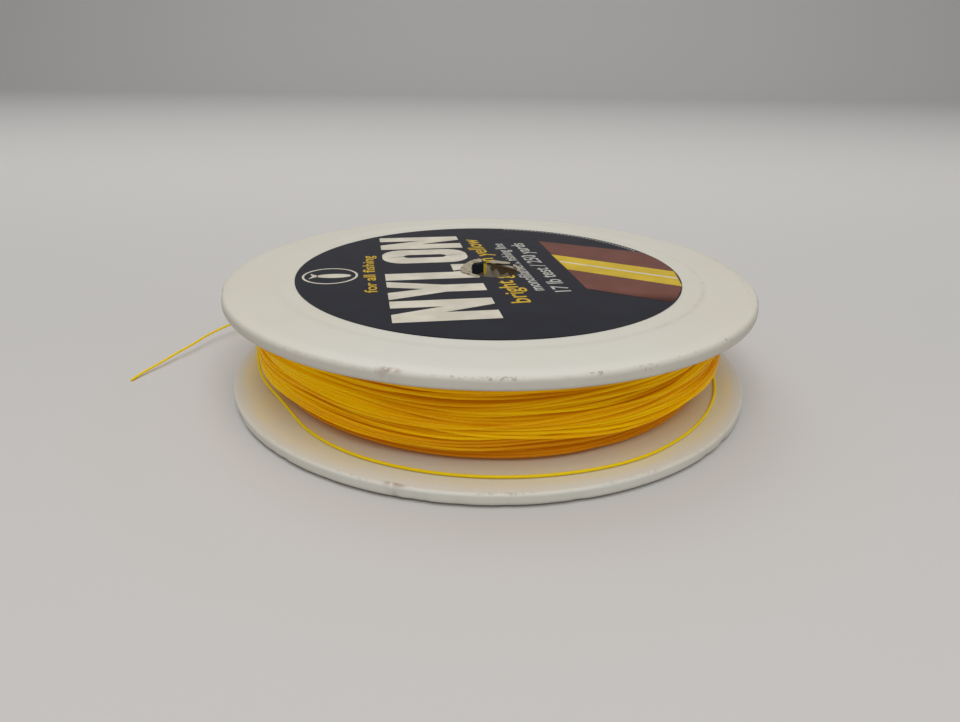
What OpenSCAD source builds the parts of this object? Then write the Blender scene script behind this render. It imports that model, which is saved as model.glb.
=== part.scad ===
// Filler spool of fishing line.
// Two moulded halves join at the hub. A paper label is stuck to each outer face,
// and the line is wound between the flanges. The last turn has sprung loose.
// The origin is on the spool's axis, on the face that the spool rests on.

/* [Spool] */
// Diameter of both flanges
flange_d = 96; // [92:1:110]
// Thickness of a flange at its rim
flange_t = 2.4; // [2.2:0.1:3.2]
// Height of the space between the flanges
gap = 15.4; // [14:0.1:18]
// Fillet on a rim's outer corner
rim_fillet = 0.8; // [0.4:0.1:1.0]
// Fillet on a rim's inner corner, where the line runs over it
lip_fillet = 0.5; // [0.2:0.1:0.8]
// Width of the worn slope beside the outer corner
slope_w = 2.0; // [1:0.1:3]
// Drop of that slope
slope_drop = 0.3; // [0.1:0.05:0.4]

/* [Hub] */
// Outer diameter of the hub that the line is wound on
hub_d = 52; // [44:1:60]
// Wall of the hub drum and of the spigot inside it
hub_wall = 1.8; // [1.4:0.1:2.4]
// Length of the spigot that presses into the drum
spigot_l = 6; // [4:0.5:9]
// Diameter of the arbor hole right through the spool
arbor_d = 11; // [9:0.1:14]
// Wall of the arbor tube
arbor_wall = 1.6; // [1.2:0.1:2.4]
// Ribs between the arbor tube and the drum, in each half
rib_count = 6; // [4:1:8]
// Thickness of a rib
rib_t = 1.2; // [0.8:0.1:1.6]
// Height of a rib above the flange
rib_h = 4; // [2:0.5:6]

/* [Labels] */
// Diameter of a label
label_d = 71; // [60:1:74]
// Thickness of the label paper with its glue
label_t = 0.15; // [0.1:0.01:0.2]
// Diameter of the shallow recess that a label lies in
recess_d = 77.6; // [76:0.1:80]
// Depth of that recess
recess_h = 0.25; // [0.2:0.05:0.4]
// Mean radius of the torn hole in a label, round the arbor hole
tear_r = 6.1; // [6:0.1:8]
// How far the torn edge wanders in and out
tear_wander = 0.4; // [0:0.1:1.0]

/* [Line] */
// Diameter of the line
line_d = 0.46; // [0.3:0.01:0.6]
// Width of the tape that holds the line's inner end on the hub
tape_w = 10; // [6:1:12]
// Length of that tape, measured round the hub
tape_l = 24; // [15:1:30]
// Thickness of the tape
tape_t = 0.12; // [0.08:0.01:0.15]

/* [Hidden] */
$fn = 180;

plastic = [0.80, 0.78, 0.74];
paper = [0.15, 0.16, 0.22];
line_yellow = [0.74, 0.55, 0.04];
tape_tan = [0.80, 0.72, 0.55];

flange_r = flange_d / 2;
height = 2 * flange_t + gap;
mid = height / 2;
arbor_r = arbor_d / 2;
tube_r = arbor_r + arbor_wall;
hub_r = hub_d / 2;
spigot_r = hub_r - hub_wall;
overlap = 0.2;

// Clear space under the first turns, which the tape lies in
winding_clear = 0.2;
// The wound line's outline from the lower flange up: [radius, height]
winding_outline = [[39.6, 2.4], [40.8, 4], [41.8, 6], [42.4, 9],
                   [42.6, 13], [42.6, 16], [42, 17.8]];

// Route of the last turn's centre: [angle, radius, height].
// It leaves the winding at the left, drops onto the lower flange and runs round it.
turn_route = [[-180, 43.4, 10.6], [-172, 43.4, 8.6], [-165, 43.3, 6.6], [-158.5, 43, 4.8],
              [-154, 42.1, 3.6], [-149, 41.3, 2.9], [-142, 41.3, 2.75], [-132, 42.3, 2.75],
              [-119, 43.3, 2.75], [-105, 43.8, 2.75], [-90, 44.1, 2.75], [-75, 44.3, 2.75],
              [-60, 44.5, 2.75], [-47, 44.1, 2.75], [-31, 43.5, 2.75], [-15, 43.1, 2.75],
              [5, 42.9, 2.75], [25, 42.7, 2.75], [45, 42.6, 2.75], [65, 42.6, 2.75],
              [85, 42.7, 2.75], [105, 43, 2.75]];
// Route of the free end, from the end of the loose turn, over the rim to the table
tail_route = [[105, 43, 2.75], [120, 44.5, 2.8], [132, 47.5, 2.85], [142, 50.8, 2.85],
              [150, 53.7, 2.8], [158, 56.7, 2.65], [165.4, 58.9, 2.4], [170.2, 60.4, 2],
              [174.8, 61.4, 1.65], [178.6, 62.9, 1.3], [182.2, 64.5, 0.9],
              [185.3, 66.3, 0.6], [188, 67.8, 0.24]];
route = concat(turn_route, [for (i = [1 : len(tail_route) - 1]) tail_route[i]]);
turn_end = len(turn_route) - 1;
tail_end = len(route) - 1;

// Rings along each stretch between two route points, and sides of the line's tube
rings_per_point = 2;
tube_sides = 8;

function polar_point(p) = [p[1] * cos(p[0]), p[1] * sin(p[0]), p[2]];

// A smooth curve through the route points: a Catmull-Rom cubic in polar measures
function route_at(u) =
    let (i = min(floor(u), tail_end - 1), t = u - i,
         a = route[max(i - 1, 0)], b = route[i], c = route[i + 1],
         d = route[min(i + 2, tail_end)])
    polar_point(((2 * b) + (c - a) * t + (2 * a - 5 * b + 4 * c - d) * t * t
                 + (3 * b - a - 3 * c + d) * t * t * t) / 2);

function unit(v) = v / norm(v);

// One ring of the tube, square to the route at u
function tube_ring(u, r) =
    let (step = 0.01,
         along = unit(route_at(min(u + step, tail_end)) - route_at(max(u - step, 0))),
         side = unit(cross(along, [0, 0, 1])), up = cross(side, along))
    [for (k = [0 : tube_sides - 1])
        let (a = 360 * (k + 0.5) / tube_sides)
        route_at(u) + r * (cos(a) * side + sin(a) * up)];

// A closed tube along the route from one route point to another
module line_tube(first, last) {
    n = (last - first) * rings_per_point;
    s = tube_sides;
    points = [for (i = [0 : n]) each tube_ring(first + i / rings_per_point, line_d / 2)];
    walls = [for (i = [0 : n - 1], k = [0 : s - 1])
        [i * s + k, i * s + (k + 1) % s, (i + 1) * s + (k + 1) % s, (i + 1) * s + k]];
    start = [for (k = [s - 1 : -1 : 0]) k];
    end = [for (k = [0 : s - 1]) n * s + k];
    polyhedron(points, concat(walls, [start, end]));
}

// Outline of a flange, from the arbor hole to the rim; y = 0 is its inner face
module flange_outline() {
    fillet_y = flange_t - slope_drop - rim_fillet;
    difference() {
        union() {
            translate([arbor_r, 0])
                square([flange_r - rim_fillet - arbor_r, flange_t]);
            translate([arbor_r, lip_fillet])
                square([flange_r - arbor_r, fillet_y - lip_fillet]);
            translate([flange_r - lip_fillet, lip_fillet])
                circle(r = lip_fillet, $fn = 48);
            translate([flange_r - rim_fillet, fillet_y])
                circle(r = rim_fillet, $fn = 48);
        }
        // the worn slope beside the outer corner
        polygon([[flange_r - slope_w, flange_t], [flange_r - rim_fillet, flange_t - slope_drop],
                 [flange_r, flange_t - slope_drop], [flange_r, flange_t + overlap],
                 [flange_r - slope_w, flange_t + overlap]]);
        // the shallow recess for the label
        translate([0, flange_t - recess_h])
            square([recess_d / 2, recess_h + overlap]);
    }
}

module ring_wall(inner_r, outer_r, low, high) {
    rotate_extrude()
        translate([inner_r, low])
            square([outer_r - inner_r, high - low]);
}

// Ribs standing on a flange's inner face, from the arbor tube to the hub
module ribs(outer_r) {
    for (i = [0 : rib_count - 1])
        rotate(360 * i / rib_count)
            translate([tube_r - overlap, -rib_t / 2, -overlap])
                cube([outer_r - tube_r + 2 * overlap, rib_t, rib_h + overlap]);
}

// Lower half: flange, spigot and the lower part of the arbor tube
module lower_half() {
    color(plastic) {
        translate([0, 0, flange_t])
            mirror([0, 0, 1])
                rotate_extrude() flange_outline();
        ring_wall(spigot_r - hub_wall, spigot_r, flange_t - overlap, flange_t + spigot_l);
        ring_wall(arbor_r, tube_r, flange_t - overlap, mid);
        translate([0, 0, flange_t])
            ribs(spigot_r - hub_wall);
    }
}

// Upper half: flange, hub drum and the upper part of the arbor tube
module upper_half() {
    color(plastic) {
        translate([0, 0, flange_t + gap])
            rotate_extrude() flange_outline();
        ring_wall(spigot_r, hub_r, flange_t, flange_t + gap + overlap);
        ring_wall(arbor_r, tube_r, mid, flange_t + gap + overlap);
        translate([0, 0, flange_t + gap])
            mirror([0, 0, 1])
                ribs(spigot_r);
    }
}

// Torn edge: two waves round the hole, one slow and one quick
function tear_points(count) =
    [for (i = [0 : count - 1])
        let (a = 360 * i / count, r = tear_r + tear_wander * (0.6 * sin(3 * a + 40) + 0.4 * sin(7 * a)))
        r * [cos(a), sin(a)]];

// A round label with a torn hole over the arbor hole
module label() {
    linear_extrude(label_t)
        difference() {
            circle(r = label_d / 2);
            polygon(tear_points(42));
        }
}

module front_label() {
    color(paper)
        translate([0, 0, height - recess_h])
            label();
}

module back_label() {
    color(paper)
        translate([0, 0, recess_h])
            mirror([0, 0, 1])
                label();
}

// The wound line, as one ring with the outline that the turns have together
module line_winding() {
    inner_r = hub_r + winding_clear;
    color(line_yellow)
        rotate_extrude()
            polygon(concat([[inner_r, flange_t + gap], [inner_r, flange_t]], winding_outline));
}

// The last turn, lying slack on the lower flange
module loose_turn() {
    color(line_yellow)
        line_tube(0, turn_end);
}

// The free end, over the rim and down to the table
module line_tail() {
    color(line_yellow)
        line_tube(turn_end, tail_end);
}

// The strip that holds the line's inner end against the hub
module anchor_tape() {
    half_angle = tape_l / hub_r * 90 / PI;
    color(tape_tan)
        intersection() {
            ring_wall(hub_r, hub_r + tape_t, mid - tape_w / 2, mid + tape_w / 2);
            linear_extrude(height)
                polygon([[0, 0], (hub_r + 5) * [cos(half_angle), -sin(half_angle)],
                         (hub_r + 5) * [cos(half_angle), sin(half_angle)]]);
        }
}

upper_half();
lower_half();
front_label();
back_label();
line_winding();
loose_turn();
line_tail();
anchor_tape();
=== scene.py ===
# %% [markdown]
# # A filler spool of fishing line
# A filler spool is a flat plastic bobbin that a shop winds onto reels. Two moulded halves press
# together at the hub, a round paper label is stuck to each face, and a few hundred metres of
# nylon line are wound between the flanges. This lesson builds its looks on top of a CAD model,
# which already holds the sizes, the hinge of the loose line and the collision shapes.

# %% Load the fixed frame
import math
import bpy
import numpy as np
from mathutils import Matrix, Vector
from mathutils.geometry import tessellate_polygon


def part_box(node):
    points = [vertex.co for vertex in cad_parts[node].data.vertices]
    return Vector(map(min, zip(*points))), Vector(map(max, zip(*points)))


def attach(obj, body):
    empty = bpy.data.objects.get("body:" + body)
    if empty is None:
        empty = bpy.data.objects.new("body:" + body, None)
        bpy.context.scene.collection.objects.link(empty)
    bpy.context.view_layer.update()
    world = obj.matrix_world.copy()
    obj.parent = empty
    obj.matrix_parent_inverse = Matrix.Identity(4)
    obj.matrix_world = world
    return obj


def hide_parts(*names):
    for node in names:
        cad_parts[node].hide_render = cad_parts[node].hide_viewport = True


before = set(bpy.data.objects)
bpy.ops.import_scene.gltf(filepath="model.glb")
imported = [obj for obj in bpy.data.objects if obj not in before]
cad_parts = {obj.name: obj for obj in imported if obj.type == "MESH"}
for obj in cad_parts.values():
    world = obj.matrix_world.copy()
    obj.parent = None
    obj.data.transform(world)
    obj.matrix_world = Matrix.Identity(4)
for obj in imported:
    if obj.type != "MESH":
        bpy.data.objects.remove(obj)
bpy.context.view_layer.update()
MM = 0.001

# %% Sizes taken from the frame
flange_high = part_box("upper_half")[1]
FLANGE_R = flange_high[0]
TOP = flange_high[2]
GAP_LOW, GAP_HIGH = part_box("line_winding")[0][2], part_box("line_winding")[1][2]
HUB_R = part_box("anchor_tape")[1][0] - 0.12 * MM
LABEL_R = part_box("front_label")[1][0]
LABEL_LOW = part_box("front_label")[0][2]
LABEL_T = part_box("front_label")[1][2] - LABEL_LOW
FLANGE_T = GAP_LOW
ARBOR_R = 5.5 * MM
LINE_R = 0.23 * MM
print(f"flange radius {FLANGE_R * 1000:.1f} mm, height {TOP * 1000:.1f} mm, line space "
      f"{(GAP_HIGH - GAP_LOW) * 1000:.1f} mm, label radius {LABEL_R * 1000:.1f} mm")

# %% [markdown]
# ## Camera
# It stands low in front of the spool, about 13 cm away, with a wide lens, as a phone held close
# does. Its pose is three angles: a small turn, a tilt down, and a slight roll.

# %% Camera
yaw, pitch, roll = (math.radians(a) for a in (-0.686, 23.367, 0.745))
look = Vector((math.sin(yaw) * math.cos(pitch), math.cos(yaw) * math.cos(pitch), -math.sin(pitch)))
level = Vector((math.cos(yaw), -math.sin(yaw), 0))
upright = level.cross(look)
right = level * math.cos(roll) + upright * math.sin(roll)
above = upright * math.cos(roll) - level * math.sin(roll)
camera_data = bpy.data.cameras.new("camera")
camera_data.lens = 26.25
camera_data.sensor_width = 36
camera_data.clip_start = 0.005
camera = bpy.data.objects.new("camera", camera_data)
turn = Matrix((right, above, -look)).transposed()
camera.matrix_world = Matrix.Translation((0, -128.0 * MM, 56.7 * MM)) @ turn.to_4x4()
bpy.context.scene.collection.objects.link(camera)
bpy.context.scene.camera = camera
print("camera at", [round(x, 4) for x in camera.location])

# %% [markdown]
# ## Mesh helpers
# Nearly every piece here is one of three things: a tube along a path, an outline turned round
# the axis, or a flat outline. Each helper works its points out as whole numpy arrays.


# %% Put points and faces into a piece
def add_piece(name, points, faces, material, crease=35):
    """A mesh object at the origin. crease is the angle in degrees above which an edge is sharp."""
    mesh = bpy.data.meshes.new(name)
    mesh.from_pydata(np.asarray(points).tolist(), [], [list(f) for f in faces])
    mesh.validate()
    mesh.shade_smooth()
    mesh.set_sharp_from_angle(angle=math.radians(crease))
    mesh.materials.append(material)
    piece = bpy.data.objects.new(name, mesh)
    bpy.context.scene.collection.objects.link(piece)
    return piece


# %% A tube along a path
def tube_mesh(path, radius, sides):
    """Rings square to the path: centre + radius (cos a * side + sin a * up), with side = along x Z.
    Returns points and faces, with both ends closed."""
    path = np.asarray(path, float)
    along = np.gradient(path, axis=0)
    along /= np.linalg.norm(along, axis=1)[:, None]
    side = np.cross(along, [0, 0, 1.0])
    side /= np.linalg.norm(side, axis=1)[:, None]
    up = np.cross(side, along)
    a = 2 * np.pi * (np.arange(sides) + 0.5) / sides
    rings = (path[:, None] + radius * (np.cos(a)[None, :, None] * side[:, None]
                                       + np.sin(a)[None, :, None] * up[:, None]))
    n, k = np.meshgrid(np.arange(len(path) - 1), np.arange(sides), indexing="ij")
    j = (k + 1) % sides
    walls = np.stack([n * sides + k, (n + 1) * sides + k, (n + 1) * sides + j, n * sides + j], -1)
    last = (len(path) - 1) * sides
    caps = [list(range(sides)), [last + i for i in range(sides - 1, -1, -1)]]
    return rings.reshape(-1, 3), walls.reshape(-1, 4).tolist() + caps


# %% An outline turned round the axis
def turned_mesh(outline, steps):
    """A closed outline of (radius, height) points, counterclockwise, turned round Z:
    (r cos t, r sin t, z) for steps values of the angle t."""
    outline = np.asarray(outline, float)
    t = 2 * np.pi * np.arange(steps) / steps
    r, z = outline[:, 0], outline[:, 1]
    points = np.stack([np.outer(np.cos(t), r), np.outer(np.sin(t), r),
                       np.broadcast_to(z, (steps, len(z)))], -1)
    i, k = np.meshgrid(np.arange(steps), np.arange(len(r)), indexing="ij")
    i2, k2 = (i + 1) % steps, (k + 1) % len(r)
    m = len(r)
    faces = np.stack([i * m + k, i2 * m + k, i2 * m + k2, i * m + k2], -1)
    return points.reshape(-1, 3), faces.reshape(-1, 4)


# %% Arcs, curves and lengths
def arc(centre, radius, start, end, count):
    """count points on an arc, angles in degrees from +X."""
    a = np.radians(np.linspace(start, end, count))
    return np.stack([centre[0] + radius * np.cos(a), centre[1] + radius * np.sin(a)], -1)


def around_axis(radius, angle, height):
    """Points at these distances from the axis, angles round it and heights."""
    return np.stack([radius * np.cos(angle), radius * np.sin(angle), height], -1)


def cubic_between(a, b, c, d, t):
    """The Catmull-Rom cubic from b (t = 0) to c (t = 1), with a before them and d after."""
    return (2 * b + (c - a) * t + (2 * a - 5 * b + 4 * c - d) * t ** 2
            + (3 * b - a - 3 * c + d) * t ** 3) / 2


def path_length(path):
    """The length of a path, straight from point to point."""
    return float(np.linalg.norm(np.diff(path, axis=0), axis=1).sum())


# %% [markdown]
# ## Shared shader effects
# Wear and dirt are the same kinds of marks on plastic, paper and line, so each is a node group
# with its own inputs. A group puts out only masks and colours. The Principled shader stays in
# the material, where the exporter can read it.


# %% Small helpers for node trees
def add_nodes(tree, *kinds):
    """New nodes of these kinds, left to right."""
    made = []
    for number, kind in enumerate(kinds):
        node = tree.nodes.new(kind)
        node.location = (number * 180, 0)
        made.append(node)
    return made


def math_node(tree, operation, first, second=None, clamp=False):
    """first and second are sockets or numbers. Returns the result socket."""
    node = tree.nodes.new("ShaderNodeMath")
    node.operation = operation
    node.use_clamp = clamp
    for slot, value in enumerate((first, second)):
        if value is None:
            continue
        if isinstance(value, (int, float)):
            node.inputs[slot].default_value = value
        else:
            tree.links.new(value, node.inputs[slot])
    return node.outputs[0]


def ramp_mask(tree, value, low, high):
    """0 where value is under low, 1 where it is over high, smooth between."""
    node = tree.nodes.new("ShaderNodeMapRange")
    node.interpolation_type = "SMOOTHSTEP"
    tree.links.new(value, node.inputs["Value"])
    node.inputs["From Min"].default_value = low
    node.inputs["From Max"].default_value = high
    return node.outputs["Result"]


def mix_colour(tree, mask, base, over):
    """base and over are colours (r, g, b) or sockets; mask is a socket or a number."""
    node = tree.nodes.new("ShaderNodeMix")
    node.data_type = "RGBA"
    node.clamp_factor = True
    for slot, value in ((node.inputs[0], mask), (node.inputs[6], base), (node.inputs[7], over)):
        if isinstance(value, (int, float)):
            slot.default_value = value
        elif isinstance(value, tuple):
            slot.default_value = (*value, 1)
        else:
            tree.links.new(value, slot)
    return node.outputs[2]


def noise(tree, vector, scale, detail=4, roughness=0.55):
    """A noise texture's value socket."""
    node = tree.nodes.new("ShaderNodeTexNoise")
    node.inputs["Scale"].default_value = scale
    node.inputs["Detail"].default_value = detail
    node.inputs["Roughness"].default_value = roughness
    tree.links.new(vector, node.inputs["Vector"])
    return node.outputs["Fac"]


def patches(tree, vector, scale, detail, low, high, roughness=0.55):
    """A mask of soft patches: a noise, 0 where it is under low and 1 where it is over high."""
    return ramp_mask(tree, noise(tree, vector, scale, detail, roughness), low, high)


def near_value(tree, value, centre, inner, outer):
    """1 where value is within inner of centre, 0 beyond outer."""
    away = math_node(tree, "ABSOLUTE", math_node(tree, "SUBTRACT", value, centre))
    return math_node(tree, "SUBTRACT", 1.0, ramp_mask(tree, away, inner, outer))


def times(tree, *values):
    """The product of several sockets and numbers."""
    result = values[0]
    for value in values[1:]:
        result = math_node(tree, "MULTIPLY", result, value)
    return result


def tinted(tree, colour, tint, *masks):
    """colour, with tint over it as far as the product of the masks says."""
    return mix_colour(tree, times(tree, *masks), colour, tint)


# %% Node groups: round place and specks
def new_group(name, inputs, outputs):
    """A shader node group with float or vector inputs [(name, kind, default)] and outputs."""
    tree = bpy.data.node_groups.new(name, "ShaderNodeTree")
    for label, kind, default in inputs:
        socket = tree.interface.new_socket(name=label, in_out="INPUT", socket_type=kind)
        if default is not None:
            socket.default_value = default
    for label, kind in outputs:
        tree.interface.new_socket(name=label, in_out="OUTPUT", socket_type=kind)
    ins, outs = add_nodes(tree, "NodeGroupInput", "NodeGroupOutput")
    return tree, ins, outs


def round_place_group():
    """From a point: its distance from the axis, its angle round it and its height, in metres
    and radians."""
    tree, ins, outs = new_group("round_place", [("Vector", "NodeSocketVector", None)],
                                [("Radius", "NodeSocketFloat"), ("Angle", "NodeSocketFloat"),
                                 ("Height", "NodeSocketFloat")])
    split, = add_nodes(tree, "ShaderNodeSeparateXYZ")
    tree.links.new(ins.outputs[0], split.inputs[0])
    x, y, z = split.outputs
    square = math_node(tree, "ADD", math_node(tree, "MULTIPLY", x, x),
                       math_node(tree, "MULTIPLY", y, y))
    tree.links.new(math_node(tree, "SQRT", square), outs.inputs["Radius"])
    tree.links.new(math_node(tree, "ARCTAN2", y, x), outs.inputs["Angle"])
    tree.links.new(z, outs.inputs["Height"])
    return tree


def specks_group():
    """Small dark specks: the peaks of a fine noise, thinned out by a coarse one."""
    tree, ins, outs = new_group("specks", [("Vector", "NodeSocketVector", None),
                                           ("Scale", "NodeSocketFloat", 1500.0),
                                           ("Amount", "NodeSocketFloat", 0.3)],
                                [("Mask", "NodeSocketFloat")])
    fine, coarse = add_nodes(tree, "ShaderNodeTexNoise", "ShaderNodeTexNoise")
    for node, share in ((fine, 1.0), (coarse, 0.11)):
        tree.links.new(ins.outputs["Vector"], node.inputs["Vector"])
        tree.links.new(math_node(tree, "MULTIPLY", ins.outputs["Scale"], share),
                       node.inputs["Scale"])
        node.inputs["Detail"].default_value = 3
    both = math_node(tree, "ADD", fine.outputs["Fac"],
                     math_node(tree, "MULTIPLY", coarse.outputs["Fac"], 0.6))
    less = math_node(tree, "MULTIPLY", ins.outputs["Amount"], 0.42)
    peaks = math_node(tree, "SUBTRACT", both, math_node(tree, "SUBTRACT", 1.22, less))
    tree.links.new(math_node(tree, "MULTIPLY", peaks, 14.0, clamp=True), outs.inputs["Mask"])
    return tree


ROUND_PLACE = round_place_group()
SPECKS = specks_group()


def use_group(tree, group, **values):
    """Places a group; values are sockets or numbers for its inputs."""
    node = tree.nodes.new("ShaderNodeGroup")
    node.node_tree = group
    for label, value in values.items():
        if isinstance(value, (int, float)):
            node.inputs[label].default_value = value
        else:
            tree.links.new(value, node.inputs[label])
    return node


def specks(tree, place, scale, amount):
    """The mask of the specks group, with these inputs."""
    return use_group(tree, SPECKS, Vector=place, Scale=scale, Amount=amount).outputs["Mask"]


def new_material(name, **constants):
    """A material, its tree, its Principled shader with these constant inputs, and an Object
    coordinate socket."""
    material = bpy.data.materials.new(name)
    material.use_nodes = True
    tree = material.node_tree
    shader = tree.nodes["Principled BSDF"]
    for label, value in constants.items():
        shader.inputs[label.replace("_", " ")].default_value = value
    place = tree.nodes.new("ShaderNodeTexCoord").outputs["Object"]
    return material, tree, shader, place


def set_roughness(tree, shader, value, spread, base):
    """Roughness of base + spread * value, with value a socket."""
    rough = math_node(tree, "ADD", math_node(tree, "MULTIPLY", value, spread), base)
    tree.links.new(rough, shader.inputs["Roughness"])


def bump(tree, shader, height, strength, distance):
    """Feeds a height socket into the shader's normal."""
    node, = add_nodes(tree, "ShaderNodeBump")
    node.inputs["Strength"].default_value = strength
    node.inputs["Distance"].default_value = distance
    tree.links.new(height, node.inputs["Height"])
    tree.links.new(node.outputs["Normal"], shader.inputs["Normal"])


# %% [markdown]
# ## Aged white plastic
# The halves are moulded polystyrene that was white once. It has yellowed a little towards the
# rim, and hands have left grime in the rim's corner. Painted shade darkens the upper rim's side
# and one side of the step round the label, and a painted yellow reflection of the line lies on
# the flanges' inner faces. All of it is worked out from the distance to the axis and the angle
# round it.


# %% Spool plastic
def facing(tree, angle, middle, low, high):
    """A mask for one side of the spool: 1 where cos(angle - middle) is over high, 0 where it is
    under low."""
    cosine = math_node(tree, "COSINE", math_node(tree, "SUBTRACT", angle, middle))
    return ramp_mask(tree, cosine, low, high)


def spool_plastic():
    """Yellowed white plastic, with painted shade and a painted yellow reflection among its tints.
    Each mark is a tint with its masks: where, how patchy, how much.
    """
    material, tree, shader, place = new_material("spool_plastic", IOR=1.5,
                                                 Specular_IOR_Level=0.38)
    where = use_group(tree, ROUND_PLACE, Vector=place)
    radius, angle, height = (where.outputs[k] for k in ("Radius", "Angle", "Height"))
    sideways = ramp_mask(tree, math_node(tree, "ABSOLUTE",
                                         math_node(tree, "COSINE", angle)), 0.25, 1.0)
    yellowing = math_node(tree, "ADD", times(tree, patches(tree, place, 38, 3, 0.30, 0.75), 0.30),
                          times(tree, sideways, 0.40))
    colour = mix_colour(tree, yellowing, (0.640, 0.622, 0.555), (0.610, 0.560, 0.455))
    # painted reflection: yellow light from the wound line, bounced onto the flanges' inner faces,
    # more at the sides
    inside = times(tree, near_value(tree, height, 10.1 * MM, 7.75 * MM, 7.95 * MM),
                   near_value(tree, radius, 0.0, 45.6 * MM, 46.9 * MM))
    colour = tinted(tree, colour, (0.760, 0.625, 0.285), inside,
                    patches(tree, place, 55, 3, 0.10, 0.85),
                    math_node(tree, "ADD", times(tree, sideways, 0.45), 0.45))
    # the bore, darker in patches
    colour = tinted(tree, colour, (0.300, 0.240, 0.150),
                    near_value(tree, radius, 0.0, 5.6 * MM, 6.0 * MM),
                    patches(tree, place, 400, 4, 0.2, 0.7), 0.75)
    # painted shade: the upper rim's rounded edge and side, greyer, as they get less light than the
    # top face
    colour = tinted(tree, colour, (0.500, 0.470, 0.395),
                    ramp_mask(tree, radius, 47.3 * MM, 47.9 * MM),
                    ramp_mask(tree, height, 10 * MM, 12 * MM), 0.55)
    # painted shade in the step round the label, on its right side
    colour = tinted(tree, colour, (0.330, 0.280, 0.200),
                    near_value(tree, radius, 38.8 * MM, 0.05 * MM, 0.6 * MM),
                    facing(tree, angle, -0.25, 0.55, 0.98),
                    patches(tree, place, 300, 4, 0.30, 0.75), 0.28)
    # grime that fingers leave on the rim's corner, heavier towards the front right
    colour = tinted(tree, colour, (0.190, 0.150, 0.100),
                    near_value(tree, radius, 47.72 * MM, 0.10 * MM, 0.30 * MM),
                    facing(tree, angle, -0.95, -0.1, 0.8),
                    patches(tree, place, 1500, 5, 0.50, 0.66, 0.7),
                    patches(tree, place, 240, 3, 0.42, 0.66), 0.75)
    # one brown smear on the rim, near the front
    colour = tinted(tree, colour, (0.300, 0.205, 0.150),
                    near_value(tree, radius, 47.55 * MM, 0.10 * MM, 0.55 * MM),
                    near_value(tree, angle, -1.84, 0.010, 0.050),
                    patches(tree, place, 900, 4, 0.35, 0.60), 0.7)
    # worn line along the inside of the sloped band, on the far right
    colour = tinted(tree, colour, (0.360, 0.260, 0.150),
                    near_value(tree, radius, 46.25 * MM, 0.02 * MM, 0.22 * MM),
                    facing(tree, angle, 0.55, 0.5, 0.9),
                    patches(tree, place, 350, 4, 0.40, 0.70), 0.45)
    # a few specks all over
    colour = tinted(tree, colour, (0.260, 0.215, 0.160), specks(tree, place, 1300.0, 0.16), 0.5)
    tree.links.new(colour, shader.inputs["Base Color"])
    set_roughness(tree, shader, noise(tree, place, 260, 5), 0.25, 0.36)
    bump(tree, shader, noise(tree, place, 900, 5), 0.10, 0.0002)
    return material


PLASTIC = spool_plastic()

# %% [markdown]
# ## Line
# Nylon line is clear resin with a strong yellow dye. One strand is glossy and a bit
# see-through; many together look deep orange in the gaps, because light bounces between them
# and loses its blue and green. Here the base colours have almost no blue, turns that lie
# further in carry painted shade as a deeper, darker colour, and a slight glow stands for light
# that comes through.


# %% Line material
def line_nylon(name, dark, light, glow, milky, deep=None):
    """Dyed nylon: streaks from dark to light that run along the turns, as bundles of turns catch
    the light, a slight glow, and fine dust. milky is how much of the light spreads from strand
    to strand inside a wound mass, deep the darker colour painted on turns that lie further in,
    as painted shade."""
    material, tree, shader, place = new_material(
        name, IOR=1.53, Specular_IOR_Level=0.10, Subsurface_Weight=milky,
        Subsurface_Radius=(1.0, 0.55, 0.10), Subsurface_Scale=0.0010, Emission_Strength=glow)
    flat = tree.nodes.new("ShaderNodeVectorMath")
    flat.operation = "MULTIPLY"
    flat.inputs[1].default_value = (22, 22, 420)
    tree.links.new(place, flat.inputs[0])
    colour = mix_colour(tree, patches(tree, flat.outputs[0], 1.0, 3, 0.36, 0.62), dark, light)
    if deep:
        radius = use_group(tree, ROUND_PLACE, Vector=place).outputs["Radius"]
        # painted shade: turns less than 40.3 to 41.9 mm from the axis take the darker deep colour
        colour = mix_colour(tree, ramp_mask(tree, radius, 40.3 * MM, 41.9 * MM), deep, colour)
    colour = tinted(tree, colour, (0.30, 0.18, 0.05), specks(tree, place, 1300.0, 0.10), 0.4)
    tree.links.new(colour, shader.inputs["Base Color"])
    tree.links.new(colour, shader.inputs["Emission Color"])
    set_roughness(tree, shader, noise(tree, place, 700, 3), 0.20, 0.36)
    return material


# the last colour of the wound line is painted shade for its inner turns
LINE = line_nylon("line_wound", (0.56, 0.262, 0.0), (0.65, 0.415, 0.0), 0.26, 0.8,
                  (0.45, 0.165, 0.0))
LINE_FREE = line_nylon("line_free", (0.62, 0.450, 0.004), (0.66, 0.490, 0.006), 0.20, 0.5)

# %% [markdown]
# ## The wound line
# A spool winder lays line in even passes: across, back, and across again, each pass one
# diameter further out. That makes the inside. The last few passes are what one sees, and they
# are loose: turns tilt, slip and cross. To keep crossing turns from running through each
# other, every turn is laid on top of what is already there, and where there is a hollow it
# spans it in a straight line, as tight line does. All of the line is there, as lengths of
# under 60 m that follow each other.

# %% Inner passes
# each pass adds less than the line's thickness, as turns nest in the grooves of the pass below
PASS_STEP = 0.41 * MM
FIRST_R = HUB_R + 0.65 * MM
OUTER_START = 39.1 * MM
TURNS_IN_PASS = 32
SEAM = math.radians(156)
INNER_BINS = 24
passes = int((OUTER_START - FIRST_R) / PASS_STEP)


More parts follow.
